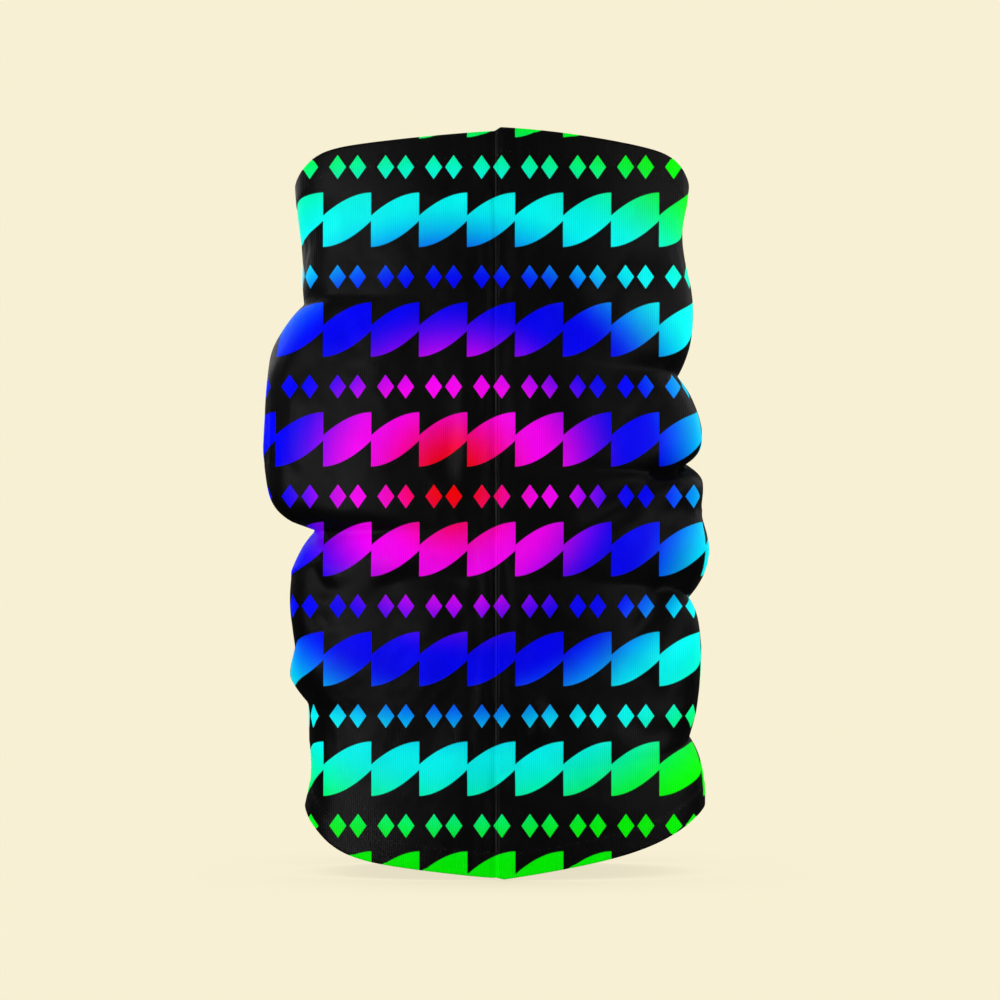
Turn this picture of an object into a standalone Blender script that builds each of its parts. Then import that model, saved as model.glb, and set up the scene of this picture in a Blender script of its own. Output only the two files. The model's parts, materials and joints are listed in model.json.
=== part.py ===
"""Neck gaiter: a stretch-knit tube sewn with one upright seam, standing as if worn.

Metres, +Z up. The wearer's face looks towards -Y and the seam runs up the front.
The frame's origin is the middle of the bottom of the whole gaiter's box.
"""

from math import copysign, cos, pi, radians, sin

import bmesh
import bpy
from mathutils import Matrix, Vector

COLLECTION = "neck_gaiter"

# The whole tube
HEIGHT = 0.430
HALF_WIDTH = 0.1145
HALF_DEPTH = 0.0580
OVAL_POWER = 2.3
CLOTH = 0.0008
CLEARANCE = 0.0003

# The rims bow away from the middle of the tube, and turn a rounded corner at each side.
TOP_BOW = 0.013
TOP_CORNER = 0.019
BOTTOM_BOW = 0.015
BOTTOM_CORNER = 0.021
BOW_POWER = 1.3
CORNER_POWER = 12
STANDING_FLAT = 0.024

# Each side of the tube falls in puffs between creases: (top of the puff, how far it stands out).
LEFT_PUFFS = ((0.112, -0.0055), (0.206, 0.0042), (0.338, 0.0189), (HEIGHT, 0.000))
RIGHT_PUFFS = (
    (0.084, 0.0085),
    (0.164, 0.0085),
    (0.240, 0.0118),
    (0.294, 0.0070),
    (0.362, 0.0035),
    (HEIGHT, -0.002),
)
CREASE_DEPTH = 0.004
PUFF_ROUNDNESS = 2.4

# Turned-in hems
HEM_HEIGHT = 0.015
HEM_GAP = 0.0004
FOLD_RADIUS = CLOTH + HEM_GAP / 2

# The seam, a little right of the tube's middle, with its allowance turned to the inside
SEAM_OFFSET = 0.0024
SEAM_GAP = 0.0004
SEAM_FOLD_RADIUS = 0.0012
ALLOWANCE_DEPTH = 0.0075

# Threads
THREAD_RADIUS = 0.00022
STITCH = 0.012
NEEDLE_DEPTHS = (0.0030, 0.0052)
FLOAT_RISE = 0.0003
LOOPER_NEAR_DEPTH = NEEDLE_DEPTHS[-1] + 3 * THREAD_RADIUS + CLEARANCE
HEM_STITCH_HEIGHT = 0.012
HEM_LOOPER_SWING = 0.002

# Blank care label, caught in the seam near the bottom
LABEL_LENGTH = 0.022
LABEL_HEIGHT = 0.030
LABEL_THICKNESS = 0.0006
LABEL_BOTTOM = 0.028
LABEL_REST_ANGLE = radians(70)
LABEL_HINGE_DEPTH = 0.0096
LABEL_ROOT_GAP = 0.0008

# Mesh resolution
ROUND_STEPS = 48
PANEL_ROWS = 30
SEAM_FOLD_STEPS = 2
HEM_FOLD_STEPS = 3
HEM_LEG_STEPS = 2
HEM_STEPS = 2 * HEM_LEG_STEPS + HEM_FOLD_STEPS


def puff(height, puffs):
    """How far one side of the tube stands out at this height."""
    bottom = 0.0
    for top, outward in puffs:
        if height <= top or top == HEIGHT:
            across = (2 * height - bottom - top) / (top - bottom)
            roundness = 1 - min(1.0, abs(across)) ** PUFF_ROUNDNESS
            return (outward + CREASE_DEPTH) * roundness - CREASE_DEPTH
        bottom = top
    return 0.0


def side_reach(puffs):
    """The furthest that one side of the tube reaches from its axis: the tallest puff's middle."""
    return HALF_WIDTH + max(outward for top, outward in puffs)


# The tube's axis stands to one side of the frame's origin, because the puffs differ.
AXIS_X = (side_reach(LEFT_PUFFS) - side_reach(RIGHT_PUFFS)) / 2
SEAM_X = AXIS_X + SEAM_OFFSET
SEAM_Y = -HALF_DEPTH


def oval_share(value):
    return copysign(abs(value) ** (2 / OVAL_POWER), value)


def surface(angle, height, inset=0.0):
    """A point on the tube: angle 0 is the front, a quarter turn is +X, and inset goes inwards."""
    puffs = RIGHT_PUFFS if sin(angle) >= 0 else LEFT_PUFFS
    half_width = HALF_WIDTH + puff(height, puffs)
    across = oval_share(sin(angle))
    along = oval_share(cos(angle))
    outward = Vector((across / half_width, -along / HALF_DEPTH, 0.0)).normalized()
    point = Vector((AXIS_X + half_width * across, -HALF_DEPTH * along, height))
    return point - outward * inset


def rim_drop(angle, bow, corner, flat=0.0):
    """How far a rim has drawn back from its highest or lowest point at this angle."""
    across = abs(oval_share(sin(angle)))
    bowed = max(0.0, across - flat / HALF_WIDTH) / (1 - flat / HALF_WIDTH)
    return bow * bowed**BOW_POWER + corner * bowed**CORNER_POWER


def bottom_rim(angle):
    return rim_drop(angle, BOTTOM_BOW, BOTTOM_CORNER, STANDING_FLAT)


def top_rim(angle):
    return HEIGHT - rim_drop(angle, TOP_BOW, TOP_CORNER)


def material(name, colour, roughness):
    made = bpy.data.materials.new(name)
    made.use_nodes = True
    shader = made.node_tree.nodes["Principled BSDF"]
    shader.inputs["Base Color"].default_value = (*colour, 1.0)
    shader.inputs["Roughness"].default_value = roughness
    shader.inputs["Metallic"].default_value = 0.0
    return made


def add(name, data, finish):
    obj = bpy.data.objects.new(name, data)
    data.materials.append(finish)
    bpy.data.collections[COLLECTION].objects.link(obj)
    return obj


def sheet(name, columns, rows, place, finish, closed):
    """A cloth sheet: a flat grid laid on the surface by place(u, v), then given its thickness inwards."""
    mesh = bpy.data.meshes.new(name)
    grid = bmesh.new()
    bmesh.ops.create_grid(grid, x_segments=columns, y_segments=rows, size=0.5)
    for vertex in grid.verts:
        vertex.co = place(vertex.co.x + 0.5, vertex.co.y + 0.5)
    if closed:
        bmesh.ops.remove_doubles(grid, verts=grid.verts, dist=1e-6)
    grid.to_mesh(mesh)
    grid.free()
    obj = add(name, mesh, finish)
    thickness = obj.modifiers.new("cloth", "SOLIDIFY")
    thickness.thickness = CLOTH
    thickness.offset = -1.0
    mesh.shade_smooth()
    mesh.set_sharp_from_angle(angle=radians(60))
    return obj


def thread(name, points, finish, ring=False):
    curve = bpy.data.curves.new(name, "CURVE")
    curve.dimensions = "3D"
    curve.bevel_depth = THREAD_RADIUS
    curve.bevel_resolution = 0
    curve.use_fill_caps = True
    spline = curve.splines.new("POLY")
    spline.points.add(len(points) - 1)
    for spot, point in zip(spline.points, points):
        spot.co = (*point, 1.0)
    spline.use_cyclic_u = ring
    return add(name, curve, finish)


def seam_angle():
    """The angle at which the tube's front reaches the seam."""
    across = SEAM_OFFSET / HALF_WIDTH
    return across ** (OVAL_POWER / 2)


def ring_angles():
    """Evenly spaced angles round the tube, the first of them at the seam."""
    return [seam_angle() + 2 * pi * i / ROUND_STEPS for i in range(ROUND_STEPS)]


def panel_path():
    """The panel's cross-section: points as (kind, value), from one turned-in edge round to the other."""
    fold = [pi / 2 * (i + 0.5) / SEAM_FOLD_STEPS for i in range(SEAM_FOLD_STEPS)]
    going = [("allowance", 1.0), ("allowance", 0.5)] + [("fold", a) for a in fold]
    side = (SEAM_FOLD_RADIUS + SEAM_GAP / 2) / HALF_WIDTH
    between = ring_angles()[1:]
    ends = (seam_angle() + side, seam_angle() + 2 * pi - side)
    round_the_tube = [("round", angle) for angle in (ends[0], *between, ends[1])]
    back = [("fold_back", a) for a in reversed(fold)] + [("allowance_back", 0.5), ("allowance_back", 1.0)]
    return going + round_the_tube + back


PANEL_PATH = panel_path()


def panel_point(u, v):
    """A point on the panel's outer face. The sheet starts and ends in the seam allowance."""
    kind, value = PANEL_PATH[round(u * (len(PANEL_PATH) - 1))]
    angle = value if kind == "round" else seam_angle()
    low = bottom_rim(angle) + HEM_HEIGHT + CLEARANCE
    high = top_rim(angle) - HEM_HEIGHT - CLEARANCE
    height = low + (high - low) * v
    if kind == "round":
        return surface(angle, height)
    side = -1.0 if kind.endswith("back") else 1.0
    edge_x = SEAM_X + side * SEAM_GAP / 2
    if kind.startswith("allowance"):
        depth = SEAM_FOLD_RADIUS + (ALLOWANCE_DEPTH - SEAM_FOLD_RADIUS) * value
        return Vector((edge_x, SEAM_Y + depth, height))
    out_x = SEAM_FOLD_RADIUS * (1 - cos(value))
    out_y = SEAM_FOLD_RADIUS * (1 - sin(value))
    return Vector((edge_x + side * out_x, SEAM_Y + out_y, height))


def tube_panel():
    finish = material("printed_knit", (0.01, 0.01, 0.012), 0.75)
    return sheet("tube_panel", len(PANEL_PATH) - 1, PANEL_ROWS, panel_point, finish, closed=False)


def hem_point(rim, upwards):
    """Returns place(u, v) for a hem, which runs up its outer leg, over the fold and down its inner leg.

    The fold has a flat along its middle, so the hem at the bottom stands on a real face.
    """
    leg = HEM_HEIGHT - FOLD_RADIUS
    fold_start = HEM_LEG_STEPS
    fold_end = HEM_LEG_STEPS + HEM_FOLD_STEPS

    def place(u, v):
        step = round((v if upwards else 1 - v) * HEM_STEPS)
        angle = seam_angle() + 2 * pi * u
        if step <= fold_start:
            inset = 0.0
            from_rim = FOLD_RADIUS + leg * (1 - step / HEM_LEG_STEPS)
        elif step >= fold_end:
            inset = 2 * FOLD_RADIUS
            from_rim = FOLD_RADIUS + leg * (step - fold_end) / HEM_LEG_STEPS
        else:
            turn = pi * (step - fold_start) / HEM_FOLD_STEPS
            inset = FOLD_RADIUS * (1 - cos(turn))
            from_rim = FOLD_RADIUS * (1 - sin(turn) / sin(pi / HEM_FOLD_STEPS))
        height = rim(angle) - from_rim if upwards else rim(angle) + from_rim
        return surface(angle, height, inset)

    return place


def hem(name, rim, upwards):
    finish = material(name + "_knit", (0.01, 0.01, 0.012), 0.75)
    return sheet(name, ROUND_STEPS, HEM_STEPS, hem_point(rim, upwards), finish, closed=True)


def hem_threads(prefix, rim, direction):
    """One needle thread round the outside of a hem and one looper thread zigzagging round its inside."""
    finish = material(prefix + "_thread", (0.015, 0.015, 0.018), 0.6)
    outside = -(CLEARANCE + THREAD_RADIUS)
    inside = 2 * FOLD_RADIUS + CLEARANCE + THREAD_RADIUS
    needle = [surface(a, rim(a) + direction * HEM_STITCH_HEIGHT, outside) for a in ring_angles()]
    looper_line = HEM_STITCH_HEIGHT - HEM_LOOPER_SWING
    looper = []
    for i, angle in enumerate(ring_angles()):
        swing = HEM_LOOPER_SWING * (1 if i % 2 else -1)
        looper.append(surface(angle, rim(angle) + direction * looper_line + swing, inside))
    return (
        thread(prefix + "_needle_thread", needle, finish, ring=True),
        thread(prefix + "_looper_thread", looper, finish, ring=True),
    )


def seam_heights(start_share):
    """One height in each stitch up the seam, this share of a stitch above its hole and clear of both hems."""
    low = HEM_HEIGHT + 2 * CLEARANCE + THREAD_RADIUS
    high = HEIGHT - low
    stitches = int((HEIGHT - 2 * HEM_HEIGHT) / STITCH)
    step = (high - low) / stitches
    return [low + step * (i + start_share) for i in range(stitches)]


def seam_threads():
    """The four threads of the overlock seam that hold and cover the seam allowance."""
    holes, middles = seam_heights(0.0), seam_heights(0.5)
    face = SEAM_GAP / 2 + CLOTH + CLEARANCE + THREAD_RADIUS
    for number, depth in enumerate(NEEDLE_DEPTHS, start=1):
        finish = material(f"seam_needle_{number}_thread", (0.02, 0.02, 0.022), 0.6)
        points = []
        for hole, middle in zip(holes, middles):
            points.append((SEAM_X - face, SEAM_Y + depth, hole))
            points.append((SEAM_X - face - FLOAT_RISE, SEAM_Y + depth, middle))
        thread(f"seam_needle_thread_{number}", points, finish)
    edge = ALLOWANCE_DEPTH + CLEARANCE + THREAD_RADIUS
    for name, side in (("seam_upper_looper_thread", -1.0), ("seam_lower_looper_thread", 1.0)):
        finish = material(name, (0.02, 0.02, 0.022), 0.6)
        points = []
        for hole, middle in zip(holes, middles):
            points.append((SEAM_X + side * face, SEAM_Y + LOOPER_NEAR_DEPTH, hole))
            points.append((SEAM_X + side * face, SEAM_Y + edge, middle))
        thread(name, points, finish)


def care_label():
    """A blank satin label whose root lies at the edge of the seam allowance."""
    finish = material("label_satin", (0.80, 0.80, 0.78), 0.45)
    mesh = bpy.data.meshes.new("care_label")
    shape = bmesh.new()
    bmesh.ops.create_cube(shape, size=1.0)
    size = Matrix.Diagonal((LABEL_THICKNESS, LABEL_LENGTH, LABEL_HEIGHT, 1.0))
    offset = Matrix.Translation((0.0, LABEL_ROOT_GAP + LABEL_LENGTH / 2, LABEL_HEIGHT / 2))
    bmesh.ops.transform(shape, matrix=offset @ size, verts=shape.verts)
    shape.to_mesh(mesh)
    shape.free()
    label = add("care_label", mesh, finish)
    hinge = empty("label_hinge", (SEAM_X, SEAM_Y + LABEL_HINGE_DEPTH, LABEL_BOTTOM))
    label.parent = hinge
    label.rotation_euler.z = -LABEL_REST_ANGLE
    return label


def empty(name, place):
    made = bpy.data.objects.new(name, None)
    made.location = place
    made.empty_display_size = 0.02
    bpy.data.collections[COLLECTION].objects.link(made)
    return made


def hold(parent, children):
    """Parents the pieces to an empty without moving them."""
    for child in children:
        child.parent = parent
        child.matrix_parent_inverse = Matrix.Translation(parent.location).inverted()


def main():
    for obj in list(bpy.data.objects):
        bpy.data.objects.remove(obj)
    collection = bpy.data.collections.new(COLLECTION)
    bpy.context.scene.collection.children.link(collection)
    tube_panel()
    seam_threads()
    hem("bottom_hem", bottom_rim, upwards=False)
    hem_threads("bottom_hem", bottom_rim, direction=1)
    top = hem("top_hem", top_rim, upwards=True)
    needle, looper = hem_threads("top_hem", top_rim, direction=-1)
    hold(empty("upper_edge_slide", (AXIS_X, 0.0, HEIGHT)), (top, needle, looper))
    care_label()


main()
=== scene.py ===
"""Looks for the neck gaiter: printed stretch jersey standing as if worn, with its seam, hems and label.

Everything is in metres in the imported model's own frame: +Z up, the front towards -Y, the seam up the front.
The cloth is one fine grid, wrapped round the tube. It is shaped by formula, settled by a cloth simulation,
and then cut into the panel and the two hems.
"""

import json
from math import pi

import bpy
import numpy as np
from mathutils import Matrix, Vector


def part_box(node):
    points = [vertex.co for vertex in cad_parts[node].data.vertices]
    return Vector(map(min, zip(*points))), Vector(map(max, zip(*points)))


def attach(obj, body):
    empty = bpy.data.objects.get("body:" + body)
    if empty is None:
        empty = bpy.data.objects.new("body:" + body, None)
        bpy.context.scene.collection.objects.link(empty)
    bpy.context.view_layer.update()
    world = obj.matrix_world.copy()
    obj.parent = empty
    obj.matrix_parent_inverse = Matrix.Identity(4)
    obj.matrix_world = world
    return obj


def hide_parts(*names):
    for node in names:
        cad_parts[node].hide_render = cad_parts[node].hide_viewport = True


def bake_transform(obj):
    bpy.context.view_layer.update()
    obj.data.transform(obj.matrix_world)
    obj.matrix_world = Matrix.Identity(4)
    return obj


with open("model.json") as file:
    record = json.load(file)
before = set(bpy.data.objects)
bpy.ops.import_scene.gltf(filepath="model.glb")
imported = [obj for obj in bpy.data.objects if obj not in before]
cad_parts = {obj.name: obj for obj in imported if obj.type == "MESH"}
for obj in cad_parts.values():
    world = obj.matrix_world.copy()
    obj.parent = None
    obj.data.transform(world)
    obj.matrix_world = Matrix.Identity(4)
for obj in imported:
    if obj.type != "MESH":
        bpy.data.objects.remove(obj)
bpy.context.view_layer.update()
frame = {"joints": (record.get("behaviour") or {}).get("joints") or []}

# Sizes read from the frame
TOP_LOW, TOP_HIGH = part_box("top_hem")
LABEL_LOW, LABEL_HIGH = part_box("care_label")
SEAM_LEFT_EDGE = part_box("seam_upper_looper_thread")[0].x
SEAM_RIGHT_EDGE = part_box("seam_lower_looper_thread")[1].x
HINGE = next(joint["pos_m"] for joint in frame["joints"] if joint["type"] == "hinge")

# The plain tube, without its side puffs: a squarish oval whose middle lies a little left of the seam
HEIGHT = TOP_HIGH.z
MIDDLE = HEIGHT / 2
SEAM_X = (SEAM_LEFT_EDGE + SEAM_RIGHT_EDGE) / 2
AXIS_X = SEAM_X - 0.0024
HALF_DEPTH = (TOP_HIGH.y - TOP_LOW.y) / 2
HALF_WIDTH = 0.1145
OVAL_POWER = 2.3
PUFF_FULLNESS = 0.25

# The rims, left then right: a long bow, its power, then a rounder drop at the corner and its power.
# The steps are how far each rim reaches out right of the seam, where the allowance lies under it.
TOP_RIM = ((0.0100, 1.15, 0.0185, 14), (0.0148, 1.5, 0.0145, 18))
BOTTOM_RIM = ((0.0127, 1.15, 0.025, 8), (0.0220, 1.15, 0.0165, 6))
TOP_EASE = 0.0004
TOP_SEAM_STEP = 0.0023
BOTTOM_SEAM_STEP = 0.0016
HEM_HEIGHT = 0.015

# The outline down each side: (height, how far it stands out from the plain tube). A station with two more
# numbers is a crease, and they say how sharply the cloth tucks into it from below and from above.
LEFT_OUTLINE = (
    (0.0000, -0.0030),
    (0.0300, -0.0038),
    (0.0560, -0.0076),
    (0.0985, -0.0070, 2.0, 1.4),
    (0.1150, 0.0031),
    (0.1300, 0.0006, 1.6, 1.6),
    (0.1640, 0.0044),
    (0.1745, 0.0040),
    (0.1995, -0.0106, 1.15, 6.5),
    (0.2600, 0.0190),
    (0.3300, -0.0036, 3.4, 2.0),
    (0.3520, -0.0028),
    (0.4050, 0.0010),
    (HEIGHT, 0.0006),
)
RIGHT_OUTLINE = (
    (0.0000, 0.0070),
    (0.0420, 0.0092),
    (0.0790, 0.0000, 3.2, 1.5),
    (0.1300, 0.0090),
    (0.1590, -0.0016, 1.8, 2.0),
    (0.1880, 0.0121),
    (0.2110, 0.0080),
    (0.2240, 0.0092),
    (0.2370, -0.0034, 3.4, 3.0),
    (0.2580, 0.0076),
    (0.2890, -0.0066, 1.8, 1.8),
    (0.3240, 0.0038),
    (0.3660, -0.0036),
    (0.4080, 0.0002),
    (HEIGHT, -0.0004),
)

# Cloth: its thickness, the turned hem's depth, and the allowance turned in at the seam
CLOTH = 0.0007
LINING_DEPTH = 0.0016
SEAM_FOLD = 0.0005
SEAM_GAP = 0.0003
ALLOWANCE_DEPTH = 0.0073

# Relief: how high or deep each small feature of the cloth is
ALLOWANCE_LIFT = 0.0008
SEAM_RIDGE = 0.00016
SEAM_HOLLOW = 0.0006
SEAM_PUCKER = 0.00020
SEAM_STREAK = 0.00024
HEM_LINE = 0.00014
HEM_LIFT = 0.00028
HEM_WAVE = 0.00010
UNEVENNESS = 0.0007

# The fine grid: columns go round from the seam, and rows go up
COLUMNS = 232
HEM_ROWS = 8
PANEL_ROWS = 200
ROWS = PANEL_ROWS + 2 * HEM_ROWS
SEAM_CROWDING = 3.2
SEAM_ZONE = 0.014

# The print: columns and rows of petals with pairs of lozenges between them
COLUMN_PITCH = 0.02808
ROW_PITCH = 0.06423
PRINT_COLUMNS = 18
PRINT_ROUND = PRINT_COLUMNS * COLUMN_PITCH
TOP_ROW = 0.1822
COLUMN_SHIFT = 0.375

# Sewing
THREAD_RADIUS = 0.00016
OVERLOCK_STITCH = 0.0026
NEEDLE_DEPTHS = (0.0030, 0.0049)
LOOPER_NEAR = 0.0047
HEM_STITCH = 0.0055

# The label
RIBBON = 0.00022
RIBBON_ROOT = 0.0005
RIBBON_CURL = 0.0004
LABEL_BOW = 0.0009
LABEL_PLY_GAP = 0.00032

# The view
VIEW_DISTANCE = 2.2
VIEW_WIDTH = 0.585
VIEW_X = 0.0076
SENSOR = 36.0

RNG = np.random.default_rng(7)


# ---------------------------------------------------------------- small helpers


def smooth(value):
    """0 below 0, 1 above 1, and a smooth step between."""
    value = np.clip(value, 0.0, 1.0)
    return value * value * (3 - 2 * value)


def signed_power(value, power):
    return np.sign(value) * np.abs(value) ** power


def unit(vectors):
    return vectors / np.linalg.norm(vectors, axis=-1, keepdims=True)


def lengths_along(points):
    """The length along a line at each of its points."""
    return np.concatenate([[0.0], np.cumsum(np.linalg.norm(np.diff(points, axis=0), axis=1))])


def read_along(where, marks, vectors):
    """Reads a line of vectors at places between its marks."""
    return np.stack([np.interp(where, marks, vectors[:, axis]) for axis in range(3)], axis=-1)


def resampled(field, places, wraps):
    """Reads the first axis of a field smoothly at fractional places along it."""
    count = len(field)
    whole = np.floor(places).astype(int)
    part = (places - whole).reshape(-1, *([1] * (field.ndim - 1)))

    def pick(step):
        index = whole + step
        return field[index % count] if wraps else field[np.clip(index, 0, count - 1)]

    before, here, after, beyond = pick(-1), pick(0), pick(1), pick(2)
    slope_here = (after - before) / 2
    slope_after = (beyond - here) / 2
    square, cube = part**2, part**3
    return (
        (2 * cube - 3 * square + 1) * here
        + (cube - 2 * square + part) * slope_here
        + (3 * square - 2 * cube) * after
        + (cube - square) * slope_after
    )


# ---------------------------------------------------------------- the tube's shape


def side_reach(height, outline):
    """How far a side stands out at each height: rounded, with sharp tucks at its creases."""
    reach = np.zeros_like(height)
    for (low, low_out, *low_tuck), (high, high_out, *high_tuck) in zip(outline, outline[1:]):
        share = np.clip((height - low) / (high - low), 0.0, 1.0)
        if high_tuck:
            share = share ** high_tuck[0]
        elif low_tuck:
            share = 1 - (1 - share) ** low_tuck[1]
        else:
            share = smooth(share)
        inside = (height >= low) & (height <= high)
        reach = np.where(inside, low_out + (high_out - low_out) * share, reach)
    return reach


def crease_height(angle, height):
    """The height on the side outline that a point belongs to. Creases climb and fall as they run in."""
    from_side = np.where(np.sin(angle) >= 0, angle - pi / 2, angle + pi / 2)
    from_side = (from_side + pi) % (2 * pi) - pi
    side = np.sign(np.sin(angle))
    tilt = 0.014 * np.sin(from_side) * np.sin(height * 37 + side * 1.3 + 0.6)
    tilt = tilt + 0.010 * np.sin(from_side) ** 2 * np.sin(height * 23 - side * 0.9)
    near_rims = smooth(np.minimum(height, HEIGHT - height) / 0.07)
    return np.clip(height + tilt * near_rims, 0.0, HEIGHT)


def rim_drop(angle, rims):
    """How far a rim has dropped at each angle: bowed across the front and back, rounder at the sides."""
    across = np.abs(signed_power(np.sin(angle), 2 / OVAL_POWER))
    left, right = (
        bow * across**power + corner * across**corner_power
        for bow, power, corner, corner_power in rims
    )
    return np.where(np.sin(angle) < 0, left, right)


def left_of_seam(angle, start, end):
    """1 on the front's left half, falling to 0 between two places beside the seam."""
    right_of_seam = HALF_WIDTH * np.sin(angle) - (SEAM_X - AXIS_X)
    return smooth(np.cos(angle) / 0.5) * (1 - smooth((right_of_seam - start) / (end - start)))


def bottom_rim(angle):
    """The lower rim's height, with a step down right of the seam."""
    return rim_drop(angle, BOTTOM_RIM) + BOTTOM_SEAM_STEP * left_of_seam(angle, -0.0020, 0.0020)


def top_rim(angle):
    """The upper rim's height, with a step up right of the seam."""
    drop = rim_drop(angle, TOP_RIM) + TOP_SEAM_STEP * left_of_seam(angle, -0.0024, 0.0006)
    return HEIGHT - TOP_EASE - drop


def smooth_tube(angle, height):
    """The tube with its side puffs and no smaller folds."""
    level = crease_height(angle, height)
    left, right = side_reach(level, LEFT_OUTLINE), side_reach(level, RIGHT_OUTLINE)
    reach = np.where(np.sin(angle) >= 0, right, left)
    across = signed_power(np.sin(angle), 2 / OVAL_POWER)
    along = signed_power(np.cos(angle), 2 / OVAL_POWER)
    fullness = 1 + PUFF_FULLNESS * reach / HALF_WIDTH * np.abs(across)
    x = AXIS_X + (HALF_WIDTH + reach) * across
    y = -HALF_DEPTH * along * fullness
    return np.stack([x, y, height], axis=-1)


def seam_angle():
    return ((SEAM_X - AXIS_X) / HALF_WIDTH) ** (OVAL_POWER / 2)


def column_angles(count, crowding=0.0):
    """Angles from the seam right round to the seam again, and how far round the cloth each is.

    They are evenly spaced, or more closely by the seam if crowding is above 0.
    """
    fine = np.linspace(seam_angle(), seam_angle() + 2 * pi, 4001)
    points = smooth_tube(fine, np.full_like(fine, MIDDLE))[:, :2]
    lengths = lengths_along(points)
    from_seam = np.minimum(lengths, lengths[-1] - lengths)
    density = 1 + crowding * np.exp(-((from_seam / SEAM_ZONE) ** 2))
    steps = np.diff(lengths) * (density[1:] + density[:-1]) / 2
    counted = np.concatenate([[0.0], np.cumsum(steps)])
    wanted = np.linspace(0, counted[-1], count + 1)
    return np.interp(wanted, counted, fine), np.interp(wanted, counted, lengths / lengths[-1])


def grid_heights(angles, hem_rows, panel_rows):
    """Heights of every row at every angle: the bottom hem's rows, the panel's, then the top hem's."""
    low, high = bottom_rim(angles), top_rim(angles)
    hem = np.linspace(0, 1, hem_rows + 1)[:, None] * HEM_HEIGHT
    panel = np.linspace(0, 1, panel_rows + 1)[:, None]
    middle = (low + HEM_HEIGHT) + (high - low - 2 * HEM_HEIGHT) * panel
    return np.concatenate([low + hem, middle[1:-1], high - hem[::-1]])


def grid_normals(grid):
    """Outward normals of a grid whose first and last columns are the same line."""
    around = np.gradient(grid, axis=1)
    around[:, 0] = around[:, -1] = (grid[:, 1] - grid[:, -2]) / 2
    return unit(np.cross(around, np.gradient(grid, axis=0)))


# Folds in the cloth: (x and z where it starts, x and z where it ends, half-width, depth)
FRONT_FOLDS = (
    (-0.025, 0.258, -0.019, 0.226, 0.0060, -0.0022),
    (-0.016, 0.284, -0.006, 0.230, 0.0080, 0.0014),
    (-0.058, 0.172, -0.006, 0.168, 0.0065, -0.0018),
    (0.022, 0.171, 0.066, 0.168, 0.0070, -0.0014),
    (-0.108, 0.201, -0.078, 0.190, 0.0070, -0.0016),
    (-0.106, 0.180, -0.086, 0.164, 0.0060, -0.0022),
    (-0.106, 0.330, -0.080, 0.320, 0.0080, -0.0012),
    (0.112, 0.172, 0.078, 0.134, 0.0075, -0.0036),
    (0.114, 0.237, 0.048, 0.204, 0.0075, -0.0034),
    (0.110, 0.289, 0.080, 0.297, 0.0070, -0.0010),
    (0.112, 0.079, 0.080, 0.090, 0.0070, -0.0012),
    (0.030, 0.102, 0.024, 0.078, 0.0060, 0.0018),
)
BACK_FOLD_COUNT = 16


def back_folds():
    """Folds that start at a side crease or in the open cloth and run in across the back."""
    folds = []
    for number in range(BACK_FOLD_COUNT):
        side = 1 if number % 2 else -1
        start_x = side * RNG.uniform(0.03, 0.11)
        height = 0.05 + (HEIGHT - 0.1) * (number + RNG.uniform(0.2, 0.8)) / BACK_FOLD_COUNT
        run = -side * RNG.uniform(0.03, 0.07)
        rise = RNG.uniform(-0.03, 0.03)
        depth = RNG.uniform(0.0014, 0.003) * (-1 if RNG.uniform() < 0.7 else 1)
        folds.append((start_x, height, start_x + run, height + rise, RNG.uniform(0.005, 0.008), depth))
    return folds


def fold_depths(grid, folds):
    """Sum of the folds' depths at each point. Each is a soft groove with a small ridge beside it."""
    x, z = grid[..., 0], grid[..., 2]
    total = np.zeros_like(x)
    for x0, z0, x1, z1, width, depth in folds:
        run = np.array([x1 - x0, z1 - z0])
        length = np.linalg.norm(run)
        run = run / length
        along = ((x - x0) * run[0] + (z - z0) * run[1]) / length
        bend = 0.0035 * np.sin(along * pi * 1.3 + x0 * 70)
        across = (-(x - x0) * run[1] + (z - z0) * run[0] + bend) / width
        fade = smooth((along + 0.25) / 0.35) * smooth((1.2 - along) / 0.6)
        groove = np.exp(-(across**2)) - 0.35 * np.exp(-((across - 1.9) ** 2) / 1.4)
        total += depth * fade * groove
    return total


def uneven(height, *periods):
    """A gentle, irregular rise and fall along the height, between -1 and 1."""
    waves = [np.sin(height * 2 * pi / period + 2.1 * number) for number, period in enumerate(periods)]
    return sum(waves) / len(periods)


def seam_relief(distance, height):
    """The pressed allowance raises the cloth right of the seam, and the stitches pucker it."""
    strip = smooth((distance + 0.0004) / 0.0012) * (1 - smooth((distance - 0.0025) / 0.0125))
    raised = ALLOWANCE_LIFT * strip * (1 + 0.3 * uneven(height, 0.047, 0.019))
    ridge_place = 0.0016 + 0.0007 * uneven(height, 0.083, 0.031)
    beside_ridge = np.exp(-(((distance - ridge_place) / 0.0011) ** 2))
    ridge = SEAM_RIDGE * (1 + uneven(height, 0.121, 0.053)) * beside_ridge
    hollow = -SEAM_HOLLOW * np.exp(-(((distance + 0.0012) / 0.0042) ** 2)) * (distance < 0)
    gathers = uneven(height, 0.0093, 0.0131, 0.0227, 0.0061)
    puckers = SEAM_PUCKER * gathers * np.exp(-np.abs(distance) / 0.006)
    streak_shift = 1.8 * uneven(height, 0.19, 0.107)
    streak_waves = np.sin(distance * 2 * pi / 0.0112 + streak_shift)
    streaks = SEAM_STREAK * streak_waves * np.exp(-((distance / 0.024) ** 2))
    return raised + ridge + hollow + puckers + streaks


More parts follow.
